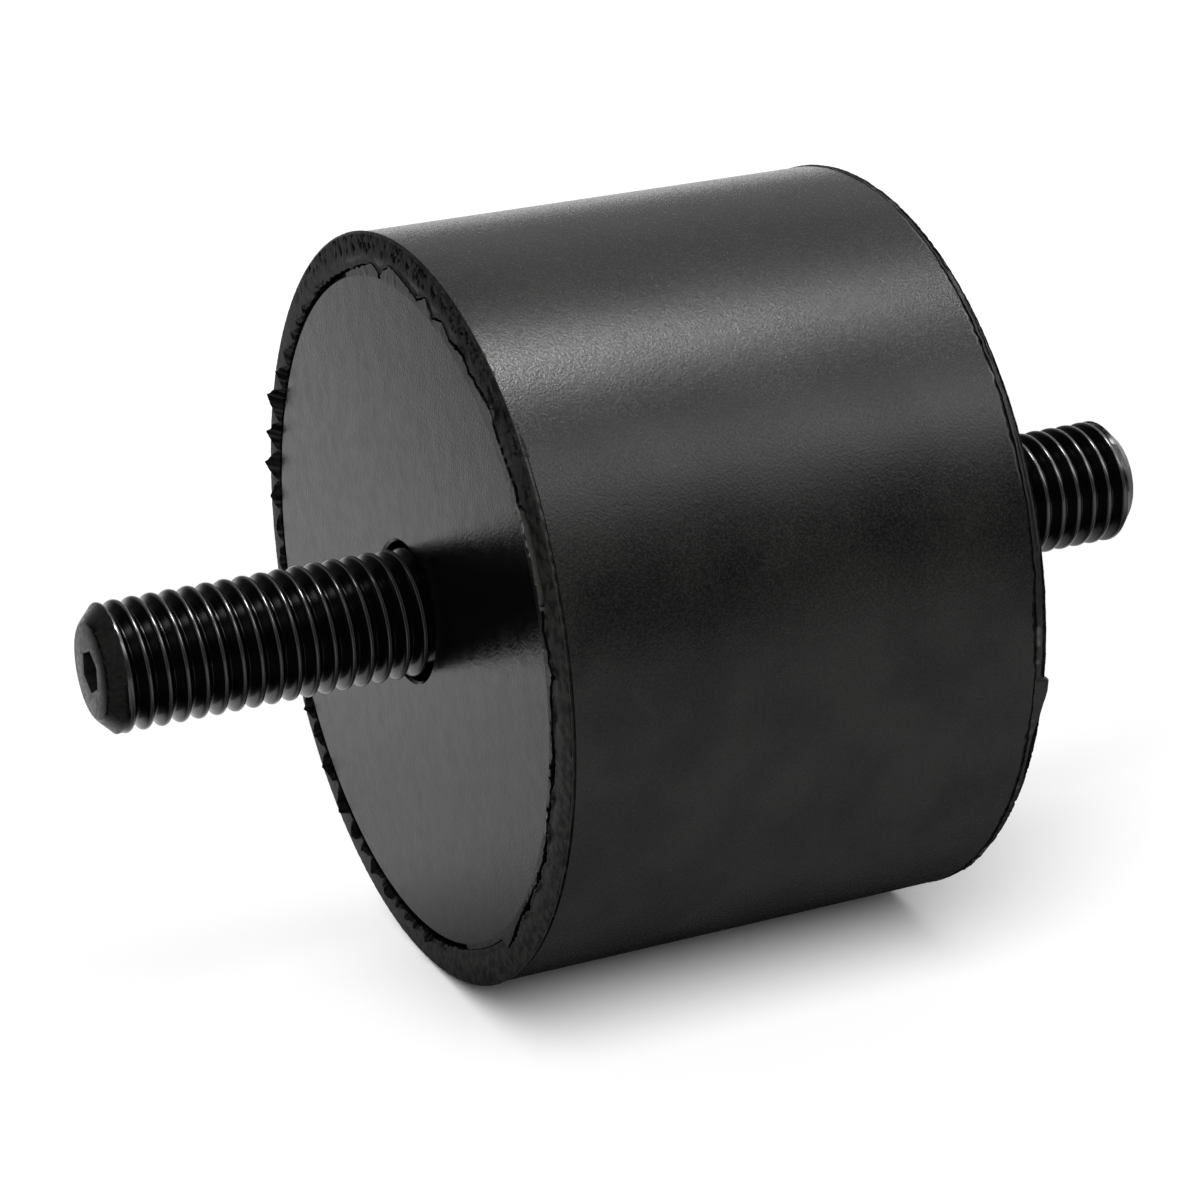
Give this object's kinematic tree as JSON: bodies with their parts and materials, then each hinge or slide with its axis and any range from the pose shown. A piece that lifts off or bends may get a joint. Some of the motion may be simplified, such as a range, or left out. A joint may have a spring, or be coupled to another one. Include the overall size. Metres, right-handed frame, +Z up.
{
  "type": "shock mount",
  "caption": "Cylindrical rubber shock mount lying on its side, with steel end plates let into the rubber and a threaded stud standing out of each end.",
  "frame": {"origin": "middle of the rubber body between its two plate faces, on the common axis of body, plates and studs", "axes": "+X along the common axis towards the rear stud, so that the front stud points to -X; +Z up as the mount lies in the picture"},
  "size_m": [0.1065, 0.0702, 0.0702],
  "materials": {
    "moulded_rubber": "black natural rubber, moulded, satin with a fine orange-peel grain",
    "plate_steel": "mild steel disc, phosphated black and oiled, an even satin",
    "stud_steel": "rolled-thread steel, black oxide and oiled, semi-gloss, paler on the crests and the cut end"
  },
  "bodies": {
    "root": {"rubber_body": "moulded_rubber", "front_plate": "plate_steel", "rear_plate": "plate_steel", "front_stud": "stud_steel", "rear_stud": "stud_steel"}
  },
  "joints": []
}
